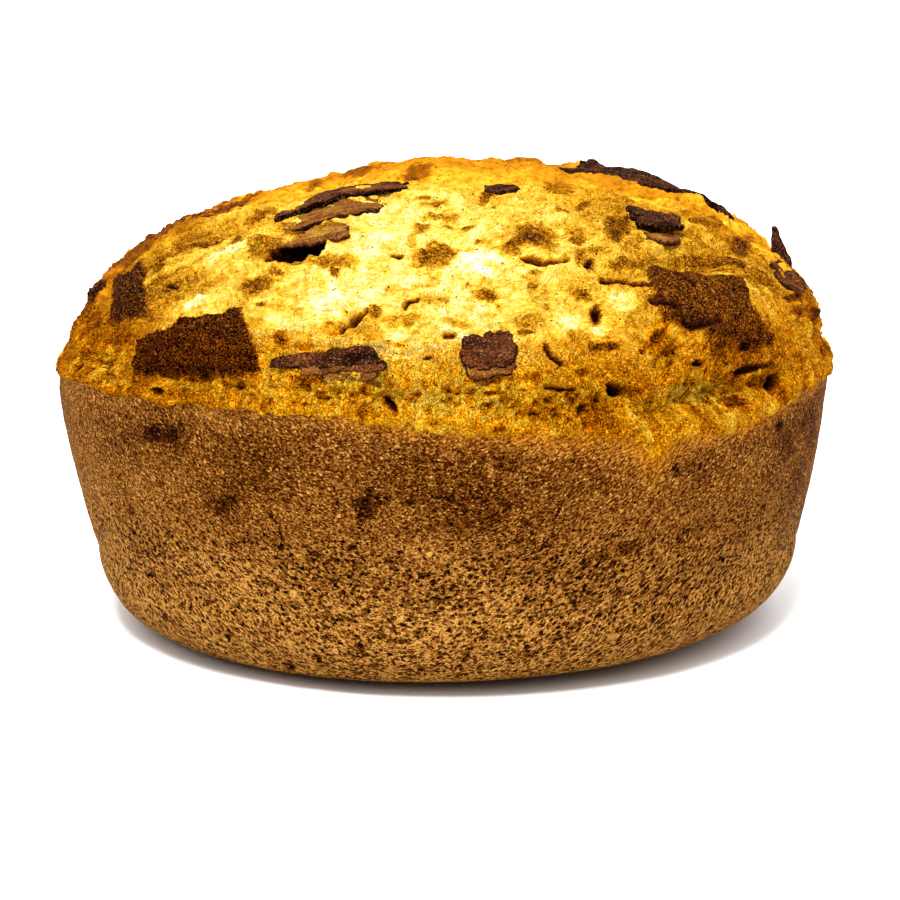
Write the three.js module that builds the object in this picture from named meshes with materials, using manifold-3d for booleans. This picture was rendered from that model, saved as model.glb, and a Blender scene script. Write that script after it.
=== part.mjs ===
// A soda bread loaf baked in a round tin: a smooth flared wall that took the tin's shape, and a
// craggy dome with lifted, scorched flakes of crust that rose above the tin's edge.
// Millimetres, +Z up. The front of the loaf faces -Y, and azimuths run anticlockwise from +X.
//
// Places on the dome are given as an azimuth and a drop. The drop is an angle down from the crown:
// 0 degrees at the crown, 90 degrees at the rim where the dome meets the wall.

import * as THREE from 'three';
import { mergeVertices } from 'three/addons/utils/BufferGeometryUtils.js';
import Module from 'manifold-3d';

// The tin-baked lower half
const rimRadius = 101;
const wallFootRadius = 93; // where the wall turns into the bottom corner
const wallFootShift = 0.8; // the foot's centre, towards +X of the rim's
const wallBulge = 1;
const cornerRadius = 20;
const restingSpotRadius = 55; // the flat spot that the loaf stands on
const restingSpotOffset = -12; // its centre, towards -X
const undersideLift = 3.2; // how far the underside has curled up at +X

// The risen dome
const crownHeight = 118;
const crownLean = 2.2; // rise of the dome towards +X, at the rim's distance
const outwardPower = 0.95; // 1 would make the dome's section a plain ellipse
const upwardPower = 0.917;
const rimStations = [ // [azimuth, height of the rim above the table]
  [-180, 67], [-150, 71], [-110, 73.5], [-80, 69.5], [-45, 65],
  [-25, 69.5], [30, 68], [100, 66], [150, 66], [180, 67],
];
const rimNotch = { azimuth: -60, halfWidth: 4, depth: 6 };

// Crags: broad swells and smaller lumps, as wave lengths and heights
const swell = { length: 46, height: 1.6 };
const crag = { length: 13, height: 1.7 };
const rimCrease = { halfWidth: 6, depth: 1.7 }; // the crease just above the rim

// Soft mounds and hollows on the dome, half widths in degrees, heights along the surface's normal
const mounds = [
  { azimuth: -44, drop: 64, azimuthWidth: 13, dropWidth: 9, height: 6 }, // the burst shoulder
  { azimuth: -36, drop: 49, azimuthWidth: 12, dropWidth: 4.5, height: -5.5 }, // valley behind it
  { azimuth: -50, drop: 82, azimuthWidth: 11, dropWidth: 4.5, height: -5.5 }, // torn crumb below it
  { azimuth: -64, drop: 81, azimuthWidth: 3, dropWidth: 3, height: -3 },
  { azimuth: -36, drop: 84, azimuthWidth: 4, dropWidth: 3, height: -3 },
  { azimuth: 64, drop: 26, azimuthWidth: 7, dropWidth: 4, height: 2.5 },
  { azimuth: 45, drop: 29, azimuthWidth: 6, dropWidth: 4, height: 2 },
  { azimuth: -97, drop: 85, azimuthWidth: 3, dropWidth: 3, height: -3 },
  { azimuth: 172, drop: 50, azimuthWidth: 30, dropWidth: 22, height: -2.8 }, // the low shoulder
  { azimuth: -4, drop: 60, azimuthWidth: 16, dropWidth: 10, height: -2.4 },
  { azimuth: 118, drop: 62, azimuthWidth: 15, dropWidth: 9, height: 3.5 },
  { azimuth: 108, drop: 47, azimuthWidth: 14, dropWidth: 5, height: -3 },
];

// The hollow under the lifted flap, left of the crown
const cave = { azimuth: -120, drop: 42, length: 26, height: 7, depth: 16 };

// Scorched flakes of crust. Azimuth and drop give a flake's middle, width is its size across the
// hill and length its size downhill. A turn lifts its right-hand end uphill. The two rises are how
// far the uphill and the downhill edge stand proud of the dome, and thickness is measured down from
// the flake's face.
const flakes = {
  leftPlate: { azimuth: -130, drop: 74, width: 38, length: 13, turn: 12, rise: [2, 0.9], thickness: 4 },
  longFlake: { azimuth: -106, drop: 75, width: 28, length: 6, turn: 5, rise: [2.2, 2], thickness: 4 },
  longUnder: { azimuth: -106, drop: 79, width: 23, length: 5, turn: 4, rise: [1, 1], thickness: 3 },
  square: { azimuth: -84, drop: 71, width: 15, length: 11, turn: 4, rise: [2.2, 1.6], thickness: 4 },
  leftStrip: { azimuth: -152, drop: 64, width: 18, length: 12, turn: -25, rise: [1.8, 1.4], thickness: 4 },
  crownSlab: { azimuth: -138, drop: 20, width: 42, length: 10, turn: 80, rise: [0.8, 4.2], thickness: 3.4 },
  liftedFlap: { azimuth: -126, drop: 35, width: 24, length: 18, turn: 25, rise: [0.5, 5.2], thickness: 3.2 },
  rightFlake: { azimuth: -34, drop: 38, width: 13, length: 18, turn: -40, rise: [1.2, 5.4], thickness: 4 },
  shoulder: { azimuth: -42, drop: 61, width: 30, length: 17, turn: -6, rise: [1.8, 2], thickness: 4 },
  rightEdge: { azimuth: -10, drop: 65, width: 18, length: 15, turn: 0, rise: [1.8, 1.5], thickness: 4 },
  backSlab: { azimuth: 15, drop: 33, width: 21, length: 46, turn: -45, rise: [3.2, 1.8], thickness: 4 },
  backPlate: { azimuth: 72, drop: 60, width: 26, length: 15, turn: 8, rise: [1.6, 2], thickness: 4 },
  backFlap: { azimuth: 118, drop: 37, width: 22, length: 17, turn: 12, rise: [0.6, 4], thickness: 3.6 },
  backLeft: { azimuth: 150, drop: 68, width: 27, length: 15, turn: 6, rise: [2, 1.4], thickness: 4 },
  farLeft: { azimuth: 175, drop: 50, width: 22, length: 17, turn: -4, rise: [1.4, 1.2], thickness: 4 },
  farRight: { azimuth: 32, drop: 74, width: 24, length: 13, turn: 4, rise: [1.8, 1.6], thickness: 4 },
};
const flakeGrid = { across: 5, down: 3 };
const flakeWobble = 1.1; // how far a flake's face and outline wander

// The shard that stands up at the +X side, turned uphill from the dome's normal
const shard = { azimuth: -3, drop: 58, width: 7, thickness: 2.4, height: 8, turn: 52, sink: 6 };

// How a sphere's polar angle is shared out between the dome, the wall, the corner and the underside
const polarRim = 104;
const polarFoot = 132;
const polarCorner = 146;
const bodyDetail = 19; // subdivision of the icosahedron that the body is mapped from

const radians = THREE.MathUtils.degToRad;
const degrees = THREE.MathUtils.radToDeg;

const manifold = await Module();
manifold.setup();

// ---- Surface of the loaf ----

function easeBetween(a, b, t) {
  return a + (b - a) * (1 - Math.cos(Math.PI * t)) / 2;
}

function wrapAzimuth(azimuth) {
  return azimuth - 360 * Math.floor((azimuth + 180) / 360);
}

function hill(distance, halfWidth) {
  return Math.exp(-((distance / halfWidth) ** 2));
}

function rimHeight(azimuth) {
  const wrapped = wrapAzimuth(azimuth);
  const after = Math.max(1, rimStations.findIndex(([station]) => station >= wrapped));
  const [fromAzimuth, fromHeight] = rimStations[after - 1];
  const [toAzimuth, toHeight] = rimStations[after];
  const t = (wrapped - fromAzimuth) / (toAzimuth - fromAzimuth);
  const notch = rimNotch.depth * hill(wrapped - rimNotch.azimuth, rimNotch.halfWidth);
  return easeBetween(fromHeight, toHeight, t) - notch;
}

function polarPoint(azimuth, radius, height) {
  return new THREE.Vector3(
    radius * Math.cos(radians(azimuth)), radius * Math.sin(radians(azimuth)), height);
}

function smoothDome(azimuth, drop) {
  const radius = rimRadius * Math.sin(radians(drop)) ** outwardPower;
  const share = Math.max(0, Math.cos(radians(drop))) ** upwardPower;
  const point = polarPoint(azimuth, radius, 0);
  const rim = rimHeight(azimuth);
  point.z = rim + (crownHeight - rim + crownLean * point.x / rimRadius) * share;
  return point;
}

function domeNormal(azimuth, drop) {
  const domeHeight = crownHeight - rimHeight(azimuth);
  const outward = domeHeight * Math.sin(radians(drop));
  return polarPoint(azimuth, outward, rimRadius * Math.cos(radians(drop))).normalize();
}

// Repeatable value noise from -1 to 1 on a unit lattice

function latticeValue(x, y, z) {
  const wave = Math.sin(x * 127.1 + y * 311.7 + z * 74.7) * 43758.5453;
  return 2 * (wave - Math.floor(wave)) - 1;
}

function noise(point, waveLength) {
  const scaled = point.clone().divideScalar(waveLength);
  const cell = scaled.clone().floor();
  const [tx, ty, tz] = scaled.sub(cell).toArray().map((t) => t * t * (3 - 2 * t));
  let sum = 0;
  for (const i of [0, 1]) {
    for (const j of [0, 1]) {
      for (const k of [0, 1]) {
        const weight = (i ? tx : 1 - tx) * (j ? ty : 1 - ty) * (k ? tz : 1 - tz);
        sum += weight * latticeValue(cell.x + i, cell.y + j, cell.z + k);
      }
    }
  }
  return sum;
}

function relief(azimuth, drop) {
  const point = smoothDome(azimuth, drop);
  const fade = THREE.MathUtils.smoothstep(90 - drop, 0, 6); // the rim itself stays smooth
  const lumps = swell.height * noise(point, swell.length) + crag.height * noise(point, crag.length);
  const crease = -rimCrease.depth * hill(90 - drop - rimCrease.halfWidth, rimCrease.halfWidth);
  const mound = mounds.reduce((sum, each) => sum + each.height
    * hill(wrapAzimuth(azimuth - each.azimuth), each.azimuthWidth)
    * hill(drop - each.drop, each.dropWidth), 0);
  return (lumps + crease + mound) * fade;
}

function domeSurface(azimuth, drop, proud = 0) {
  const height = relief(azimuth, drop) + proud;
  return smoothDome(azimuth, drop).addScaledVector(domeNormal(azimuth, drop), height);
}

function cornerHeight(azimuth) {
  return undersideLift * (1 + Math.cos(radians(azimuth))) / 2;
}

function wallSurface(azimuth, share) { // share runs from 0 at the rim to 1 at the foot
  const foot = cornerHeight(azimuth) + cornerRadius;
  const bulge = wallBulge * Math.sin(Math.PI * share);
  const radius = THREE.MathUtils.lerp(rimRadius, wallFootRadius, share) + bulge;
  const point = polarPoint(azimuth, radius, THREE.MathUtils.lerp(rimHeight(azimuth), foot, share));
  point.x += wallFootShift * share;
  return point;
}

function cornerSurface(azimuth, share) {
  const turn = share * Math.PI / 2;
  const radius = wallFootRadius - cornerRadius * (1 - Math.cos(turn));
  const height = cornerHeight(azimuth) + cornerRadius * (1 - Math.sin(turn));
  const point = polarPoint(azimuth, radius, height);
  point.x += wallFootShift;
  return point;
}

function pastRestingSpot({ x, y }) {
  return Math.hypot(x - restingSpotOffset, y) - restingSpotRadius;
}

function undersideSurface(azimuth, share) {
  const edge = cornerSurface(azimuth, 1);
  const point = new THREE.Vector3(wallFootShift * (1 - share), 0, 0)
    .addScaledVector(polarPoint(azimuth, wallFootRadius - cornerRadius, 0), 1 - share);
  point.z = edge.z * Math.max(0, pastRestingSpot(point) / pastRestingSpot(edge));
  return point;
}

function skinPoint(direction) {
  const azimuth = degrees(Math.atan2(direction.y, direction.x));
  const polar = degrees(Math.acos(THREE.MathUtils.clamp(direction.z, -1, 1)));
  if (polar < polarRim) {
    return domeSurface(azimuth, 90 * polar / polarRim);
  }
  if (polar < polarFoot) {
    return wallSurface(azimuth, (polar - polarRim) / (polarFoot - polarRim));
  }
  if (polar < polarCorner) {
    return cornerSurface(azimuth, (polar - polarFoot) / (polarCorner - polarFoot));
  }
  return undersideSurface(azimuth, (polar - polarCorner) / (180 - polarCorner));
}

// ---- Solids ----

function mergedPositions(geometry) {
  geometry.deleteAttribute('normal');
  geometry.deleteAttribute('uv');
  return mergeVertices(geometry, 1e-4);
}

function solidOf(geometry) {
  return new manifold.Manifold(new manifold.Mesh({
    numProp: 3,
    vertProperties: Float32Array.from(geometry.attributes.position.array),
    triVerts: Uint32Array.from(geometry.index.array),
  }));
}

function geometryOf(solid) {
  const mesh = solid.getMesh();
  const geometry = new THREE.BufferGeometry();
  geometry.setAttribute('position', new THREE.BufferAttribute(mesh.vertProperties, 3));
  geometry.setIndex(new THREE.BufferAttribute(mesh.triVerts, 1));
  return geometry;
}

function moveEachPoint(geometry, place) {
  const positions = geometry.attributes.position;
  for (let i = 0; i < positions.count; i += 1) {
    const moved = place(new THREE.Vector3().fromBufferAttribute(positions, i));
    positions.setXYZ(i, moved.x, moved.y, moved.z);
  }
  return geometry;
}

function bodySolid() {
  const ball = mergedPositions(new THREE.IcosahedronGeometry(1, bodyDetail));
  return solidOf(moveEachPoint(ball, (point) => skinPoint(point.normalize())));
}

// The place on the dome that a point near it stands over, seen from the middle of the rim's plane
function placeOnDome(point) {
  const azimuth = degrees(Math.atan2(point.y, point.x));
  const rim = rimHeight(azimuth);
  const outward = (Math.hypot(point.x, point.y) / rimRadius) ** (1 / outwardPower);
  const upward = Math.max(0, (point.z - rim) / (crownHeight - rim)) ** (1 / upwardPower);
  return { azimuth, drop: degrees(Math.atan2(outward, upward)) };
}

// A flake starts as a flat box: x runs across the hill and y uphill from -0.5, and z is 0 or 1
function flakeSolid({ azimuth, drop, width, length, turn, rise, thickness }) {
  const { across, down } = flakeGrid;
  const [uphillRise, downhillRise] = rise;
  const box = new THREE.BoxGeometry(1, 1, 1, across, down, 1).translate(0, 0, 0.5);
  const laid = frameAt(azimuth, drop).multiply(new THREE.Matrix4().makeRotationZ(radians(turn)));
  const place = ({ x, y, z }) => {
    const spot = new THREE.Vector3(x * width, y * length, 0).applyMatrix4(laid);
    spot.x += flakeWobble * noise(spot, 7);
    const under = placeOnDome(spot);
    const slope = THREE.MathUtils.lerp(downhillRise, uphillRise, y + 0.5);
    const face = slope + flakeWobble * noise(spot, 11) / 2;
    return domeSurface(under.azimuth, under.drop, face - (1 - z) * thickness);
  };
  const flake = moveEachPoint(mergedPositions(box), place);
  return outwardSolid(flake);
}

function outwardSolid(geometry) { // turns the faces round if the mapping has mirrored them
  const solid = solidOf(geometry);
  if (solid.volume() > 0) {
    return solid;
  }
  const index = geometry.index.array;
  for (let i = 0; i < index.length; i += 3) {
    [index[i], index[i + 1]] = [index[i + 1], index[i]];
  }
  return solidOf(geometry);
}

// The frame of a place on the dome: x across the hill, y uphill along the surface, z outward
function frameAt(azimuth, drop) {
  const outward = domeNormal(azimuth, drop);
  const across = polarPoint(azimuth + 90, 1, 0);
  const uphill = outward.clone().cross(across);
  return new THREE.Matrix4()
    .makeBasis(across, uphill, outward)
    .setPosition(domeSurface(azimuth, drop));
}

function shardSolid() {
  const outline = new THREE.Shape()
    .moveTo(-shard.width / 2, -shard.sink)
    .lineTo(shard.width / 2, -shard.sink)
    .lineTo(shard.width * 0.3, shard.height * 0.35)
    .lineTo(-shard.width * 0.1, shard.height)
    .lineTo(-shard.width * 0.35, shard.height * 0.4);
  const blade = new THREE.ExtrudeGeometry(outline, { depth: shard.thickness, bevelEnabled: false });
  blade.translate(0, 0, -shard.thickness / 2);
  blade.rotateX(radians(90 - shard.turn));
  blade.applyMatrix4(frameAt(shard.azimuth, shard.drop));
  return outwardSolid(mergedPositions(blade));
}

function caveSolid() {
  const hollow = new THREE.SphereGeometry(0.5, 14, 8);
  hollow.scale(cave.length, cave.depth, cave.height);
  hollow.applyMatrix4(frameAt(cave.azimuth, cave.drop));
  return outwardSolid(mergedPositions(hollow));
}

function loafGeometry() {
  const carved = bodySolid().subtract(caveSolid());
  const fused = Object.values(flakes).map(flakeSolid).reduce((sum, flake) => sum.add(flake), carved);
  const geometry = geometryOf(fused.add(shardSolid()));
  geometry.computeBoundingBox();
  const middle = geometry.boundingBox.getCenter(new THREE.Vector3());
  geometry.translate(-middle.x, -middle.y, -geometry.boundingBox.min.z);
  return geometry;
}

const crust = new THREE.MeshStandardMaterial({ color: 0xb06d24, roughness: 0.85, metalness: 0 });
const loaf = new THREE.Mesh(loafGeometry(), crust);
loaf.name = 'loaf';

const sodaBread = new THREE.Group();
sodaBread.add(loaf);

export default sodaBread;
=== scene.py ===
import math

import bmesh
import bpy
import numpy as np
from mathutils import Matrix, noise


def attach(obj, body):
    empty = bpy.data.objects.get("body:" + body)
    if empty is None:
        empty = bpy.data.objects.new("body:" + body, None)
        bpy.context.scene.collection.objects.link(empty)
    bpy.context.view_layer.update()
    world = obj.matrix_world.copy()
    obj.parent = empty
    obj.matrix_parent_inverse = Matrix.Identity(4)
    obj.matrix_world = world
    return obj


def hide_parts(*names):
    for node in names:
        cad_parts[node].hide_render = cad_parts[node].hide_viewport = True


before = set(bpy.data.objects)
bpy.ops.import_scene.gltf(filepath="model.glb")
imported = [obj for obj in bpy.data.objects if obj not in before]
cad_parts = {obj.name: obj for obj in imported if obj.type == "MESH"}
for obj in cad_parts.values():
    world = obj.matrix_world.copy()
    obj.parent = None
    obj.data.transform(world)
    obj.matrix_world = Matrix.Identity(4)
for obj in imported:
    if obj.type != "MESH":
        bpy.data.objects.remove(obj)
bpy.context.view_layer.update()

mm = 0.001  # shapes are worked out in millimetres and stored in metres

# A tin-baked loaf of soda bread: a smooth wall that took the tin's shape, the crumb that rose out
# of it into a craggy dome, and the scorched flakes of the first crust, which the rise tore apart.
# The front faces -Y. Azimuths run anticlockwise from +X, and a drop is the angle down from the
# crown: 0 at the crown, 90 at the rim. Toast runs from 0, pale crumb, to 1, burnt; it also carries
# painted shade in the cave, cracks, pits, creases and hollows, and painted light and shade on the wall.

loafForm = {
    "rimRadius": 101.0,
    "footRadius": 93.0,  # where the wall turns into the bottom corner
    "footShift": 0.8,  # the foot's centre, towards +X of the rim's
    "wallBulge": 1.0,
    "cornerRadius": 20.0,
    "restRadius": 55.0,  # the flat spot that the loaf stands on
    "restOffset": -12.0,
    "undersideLift": 3.2,  # how far the underside has curled up at +X
    "crownHeight": 118.0,
    "crownLean": 2.2,  # rise of the dome towards +X
    "outwardPower": 0.95,  # 1 would make the dome's section an ellipse
    "upwardPower": 0.917,
    "rimStations": [(-180, 67), (-150, 71), (-110, 73.5), (-80, 69.5), (-45, 65),
                    (-25, 69.5), (30, 68), (100, 66), (150, 66), (180, 67)],
    "notch": {"azimuth": -60, "halfWidth": 2.6, "depth": 5.6},
    "swell": {"length": 46, "height": 1.6},
    "crag": {"length": 13, "height": 1.7},
    "crease": {"halfWidth": 6, "depth": 0.8},  # just above the rim
    "reliefFade": 6,  # degrees above the rim in which the relief dies away
    "mounds": [  # azimuth, drop, their half widths in degrees, height
        (-44, 64, 13, 9, 6),  # the burst shoulder
        (-36, 49, 12, 4.5, -5.5),  # the valley behind it
        (-50, 82, 11, 4.5, -5.5),  # the torn crumb below it
        (-64, 81, 3, 3, -3),
        (-36, 84, 4, 3, -3),
        (64, 26, 7, 4, 2.5),
        (45, 29, 6, 4, 2),
        (-97, 85, 3, 3, -3),
        (172, 50, 30, 22, -2.8),  # the low shoulder at -X
        (-4, 60, 16, 10, -2.4),
        (118, 62, 15, 9, 3.5),
        (108, 47, 14, 5, -3),
        (165, 27, 22, 9, -1.6),
        (180, 74, 36, 13, -2.7),
        (-2, 75, 22, 8, -1.2),
        (133, 34, 14, 10, -2.6),
        (150, 14, 55, 9, -0.9),
    ],
}


view = {  # the camera, in mm; marks that it sees are placed by their pixels in its image
    "place": (1.5, -785.0, 217.6),
    "pitch": 0.219,
    "lens": 120.8,
    "sensor": 36.0,
    "imageSize": 900,  # pixels along each side
    "facing": (-0.05, 0.02),  # cosines of the angle to the camera at which marks start and are whole
}


# the loaf's form: azimuths and drops come as arrays in degrees, and places in millimetres
def wrapAzimuth(azimuth):
    return azimuth - 360 * np.floor((azimuth + 180) / 360)


def hill(distance, halfWidth):
    return np.exp(-(distance / halfWidth) ** 2)


def ease(low, high, value):
    share = np.clip((value - low) / (high - low), 0, 1)
    return share * share * (3 - 2 * share)


def rimHeight(azimuth):
    wrapped = wrapAzimuth(np.asarray(azimuth, float))
    height = np.zeros_like(wrapped)
    stations = loafForm["rimStations"]
    for (fromAzimuth, fromHeight), (toAzimuth, toHeight) in zip(stations, stations[1:]):
        share = (wrapped - fromAzimuth) / (toAzimuth - fromAzimuth)
        eased = fromHeight + (toHeight - fromHeight) * (1 - np.cos(np.pi * share)) / 2
        height = np.where((share >= 0) & (share <= 1), eased, height)
    notch = loafForm["notch"]
    return height - notch["depth"] * hill(wrapped - notch["azimuth"], notch["halfWidth"])


def polarPoints(azimuth, radius, height):
    turn = np.radians(azimuth)
    return np.stack([radius * np.cos(turn), radius * np.sin(turn), height + 0 * turn], axis=-1)


def smoothDome(azimuth, drop):
    azimuth, drop = np.broadcast_arrays(np.asarray(azimuth, float), np.asarray(drop, float))
    radius = loafForm["rimRadius"] * np.sin(np.radians(drop)) ** loafForm["outwardPower"]
    share = np.clip(np.cos(np.radians(drop)), 0, 1) ** loafForm["upwardPower"]
    points = polarPoints(azimuth, radius, 0.0)
    rim = rimHeight(azimuth)
    lean = loafForm["crownLean"] * points[..., 0] / loafForm["rimRadius"]
    points[..., 2] = rim + (loafForm["crownHeight"] - rim + lean) * share
    return points


def domeNormal(azimuth, drop):
    outward = (loafForm["crownHeight"] - rimHeight(azimuth)) * np.sin(np.radians(drop))
    normal = polarPoints(azimuth, outward, 0.0)
    normal[..., 2] = loafForm["rimRadius"] * np.cos(np.radians(drop))
    return normal / np.linalg.norm(normal, axis=-1, keepdims=True)


def frameAt(azimuth, drop):  # a place on the dome, and the directions across the hill, down and out
    outward = domeNormal(azimuth, drop)
    across = polarPoints(np.asarray(azimuth + 90.0), 1.0, 0.0)
    return smoothDome(azimuth, drop), across, np.cross(across, outward), outward


def placeOnDome(points):  # the azimuth and drop that points near the dome stand over
    azimuth = np.degrees(np.arctan2(points[:, 1], points[:, 0]))
    rim = rimHeight(azimuth)
    reach = np.hypot(points[:, 0], points[:, 1]) / loafForm["rimRadius"]
    rise = np.clip((points[:, 2] - rim) / (loafForm["crownHeight"] - rim), 0, None)
    outward = reach ** (1 / loafForm["outwardPower"])
    upward = rise ** (1 / loafForm["upwardPower"])
    return azimuth, np.degrees(np.arctan2(outward, upward))


def latticeNoise(points, size):
    scaled = points / size
    cell = np.floor(scaled)
    share = scaled - cell
    share = share * share * (3 - 2 * share)
    total = 0
    for corner in np.ndindex(2, 2, 2):
        weight = np.prod(np.where(np.array(corner), share, 1 - share), axis=-1)
        wave = np.sin((cell + np.array(corner)) @ np.array([127.1, 311.7, 74.7])) * 43758.5453
        total = total + weight * (2 * (wave - np.floor(wave)) - 1)
    return total


def broadRelief(azimuth, drop):  # lumps, crease and mounds, most of which the CAD model has too
    points = smoothDome(azimuth, drop)
    swell, crag, crease = loafForm["swell"], loafForm["crag"], loafForm["crease"]
    relief = swell["height"] * latticeNoise(points, swell["length"])
    relief += crag["height"] * latticeNoise(points, crag["length"])
    relief -= crease["depth"] * hill(90 - drop - crease["halfWidth"], crease["halfWidth"])
    for moundAzimuth, moundDrop, azimuthWidth, dropWidth, height in loafForm["mounds"]:
        turn = wrapAzimuth(azimuth - moundAzimuth)
        relief += height * hill(turn, azimuthWidth) * hill(drop - moundDrop, dropWidth)
    return relief * ease(0, loafForm["reliefFade"], 90 - drop)


def grain(points, size, octaves=3):  # smooth noise, mostly from -1 to 1
    places = (points / size).tolist()
    smoothness, refinement = 0.9, 2.1  # how much weaker and finer each octave is
    return np.array([noise.fractal(place, smoothness, refinement, octaves) for place in places])


def folded(points, drop, stretch):  # space in which a pattern's lumps are long round the loaf
    return np.column_stack([points[:, :2], drop * stretch])


def alveoli(points, size):  # 0 on the thin walls between gas bubbles, 1 inside the bubbles
    bends = [grain(points + shift, size, 2) for shift in (0, 50, 90)]
    bent = points + 0.25 * size * np.column_stack(bends)
    nearest = [noise.voronoi(place)[0] for place in (bent / size).tolist()]
    wallWidth, inside = 0.04, 0.5  # how much further off the second bubble's centre is than the first
    return ease(wallWidth, inside, np.array([second - first for first, second, *_ in nearest]))


def terraces(value, steps):  # value cut into flat steps, and how near each place is to a step's foot
    riser, footAbove, footBelow = 0.25, 0.16, 0.1  # as shares of a step
    share = value * steps
    rise = share - np.floor(share)
    foot = hill(rise, footAbove) + hill(rise - 1, footBelow)
    return (np.floor(share) + ease(0, riser, rise)) / steps, foot


def domeOval(points, mark, ragged, softness=0.3):  # 1 inside an oval on the dome, 0 outside
    azimuth, drop, halfAcross, halfDown, turn = mark
    centre, across, down, outward = frameAt(azimuth, drop)
    offsets = points - centre
    x, y = offsets @ across, offsets @ down
    cosine, sine = math.cos(math.radians(turn)), math.sin(math.radians(turn))
    along = (x * cosine + y * sine) / halfAcross
    aside = (y * cosine - x * sine) / halfDown
    away = offsets @ outward / (2 * max(halfAcross, halfDown))
    reach = np.sqrt(along ** 2 + aside ** 2 + away ** 2) + ragged
    return 1 - ease(1 - softness, 1 + softness, reach)


def seenAt(points):  # the pixels at which the camera sees points, across and down
    offset = points - np.array(view["place"])
    cosine, sine = math.cos(view["pitch"]), math.sin(view["pitch"])
    depth = offset[..., 1] * cosine - offset[..., 2] * sine
    scale = view["imageSize"] * view["lens"] / view["sensor"] / depth
    down = -offset[..., 1] * sine - offset[..., 2] * cosine
    return view["imageSize"] / 2 + np.stack([offset[..., 0] * scale, down * scale], axis=-1)


def shownShare(points, outward):  # 1 where the surface faces the camera, 0 where it is turned away
    towards = np.array(view["place"]) - points
    facing = np.sum(towards * outward, axis=-1) / np.linalg.norm(towards, axis=-1)
    return ease(*view["facing"], facing)


def mapDome():  # azimuths and drops all over the dome, and where the camera sees them
    step = 0.5  # degrees
    grids = np.meshgrid(np.arange(-180, 180, step), np.arange(step, 90 + step, step))
    azimuth, drop = (grid.ravel() for grid in grids)
    outward = domeNormal(azimuth, drop)
    points = smoothDome(azimuth, drop) + outward * broadRelief(azimuth, drop)[:, None]
    shown = shownShare(points, outward) > 0.5
    return np.column_stack([azimuth, drop])[shown], seenAt(points)[shown]


def ovalShare(seen, oval, ragged, softness=0.3):  # x, y, width, height and tilt, up to the right
    x, y, width, height, tilt = oval
    right, down = seen[:, 0] - x, seen[:, 1] - y
    cosine, sine = math.cos(math.radians(tilt)), math.sin(math.radians(tilt))
    along = (right * cosine - down * sine) * 2 / width
    aside = (right * sine + down * cosine) * 2 / height
    return 1 - ease(1 - softness, 1 + softness, np.hypot(along, aside) + ragged)


def plateShare(seen, corners, softness, ragged):  # 1 inside four corners, clockwise, 0 outside
    share = 1
    for start, end, soft in zip(corners, corners[1:] + corners[:1], softness):
        side = np.subtract(end, start)
        inward = np.array([-side[1], side[0]]) / np.hypot(*side)
        unevenness = 1.4 + 0.4 * soft  # pixels: a soft edge is more ragged
        share = share * ease(-soft, soft, (seen - start) @ inward + ragged * unevenness)
    return share


def crackShare(seen, stops, halfWidth, ragged):  # 1 on a line through pixels, 0 off it
    nearest = np.full(len(seen), 1e6)
    for start, end in zip(np.array(stops), np.array(stops[1:])):
        share = np.clip((seen - start) @ (end - start) / np.sum((end - start) ** 2), 0, 1)
        gap = np.linalg.norm(seen - start - share[:, None] * (end - start), axis=1)
        nearest = np.minimum(nearest, gap)
    return hill(nearest * (1 + ragged), halfWidth)


def linearColour(hexText):  # an sRGB hex value as the linear colour that Blender takes
    values = [int(hexText[i:i + 2], 16) / 255 for i in (1, 3, 5)]
    return (*[v / 12.92 if v <= 0.04045 else ((v + 0.055) / 1.055) ** 2.4 for v in values], 1)


def addNode(tree, kind, settings=None, inputs=None):
    node = tree.nodes.new(kind)
    for name, value in (settings or {}).items():
        setattr(node, name, value)
    for name, value in (inputs or {}).items():
        if isinstance(value, bpy.types.NodeSocket):
            tree.links.new(value, node.inputs[name])
        else:
            node.inputs[name].default_value = value
    return node


def setStops(elements, stops):
    while len(elements) < len(stops):
        elements.new(0.5)
    for element, (position, hexText) in zip(elements, stops):
        element.position = position
        element.color = linearColour(hexText)


weigh = {"operation": "MULTIPLY_ADD"}  # value times amount, added to a total
multiply = {"operation": "MULTIPLY"}
subtract = {"operation": "SUBTRACT"}


def patternValue(tree, space, kind, size, share):
    settings = {"Vector": space, "Scale": 1 / (size * mm)}
    if kind == "cloud":  # smooth noise, centred on 0
        settings.update({"Detail": 2.5, "Roughness": 0.6, "Distortion": share})
        value = addNode(tree, "ShaderNodeTexNoise", {}, settings).outputs["Fac"]
        return addNode(tree, "ShaderNodeMath", subtract, {0: value, 1: 0.5}).outputs[0]
    if kind == "strands":  # light threads along the noise's middle value, dark between them
        settings.update({"Detail": 2.0, "Distortion": 0.4})
        value = addNode(tree, "ShaderNodeTexNoise", {}, settings).outputs["Fac"]
        middle = addNode(tree, "ShaderNodeMath", subtract, {0: value, 1: 0.5})
        away = addNode(tree, "ShaderNodeMath", {"operation": "ABSOLUTE"}, {0: middle.outputs[0]})
        ranged = {"Value": away.outputs[0], "From Max": share, "To Min": 0.6, "To Max": -0.4}
        return addNode(tree, "ShaderNodeMapRange", {}, ranged).outputs["Result"]
    cells = addNode(tree, "ShaderNodeTexVoronoi", {}, settings).outputs["Color"]
    value = addNode(tree, "ShaderNodeSeparateColor", {}, {"Color": cells}).outputs["Red"]
    if kind == "specks":  # a share of the small cells
        below = {"operation": "LESS_THAN"}
        return addNode(tree, "ShaderNodeMath", below, {0: value, 1: share}).outputs[0]
    return addNode(tree, "ShaderNodeMath", subtract, {0: value, 1: 0.5}).outputs[0]


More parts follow.
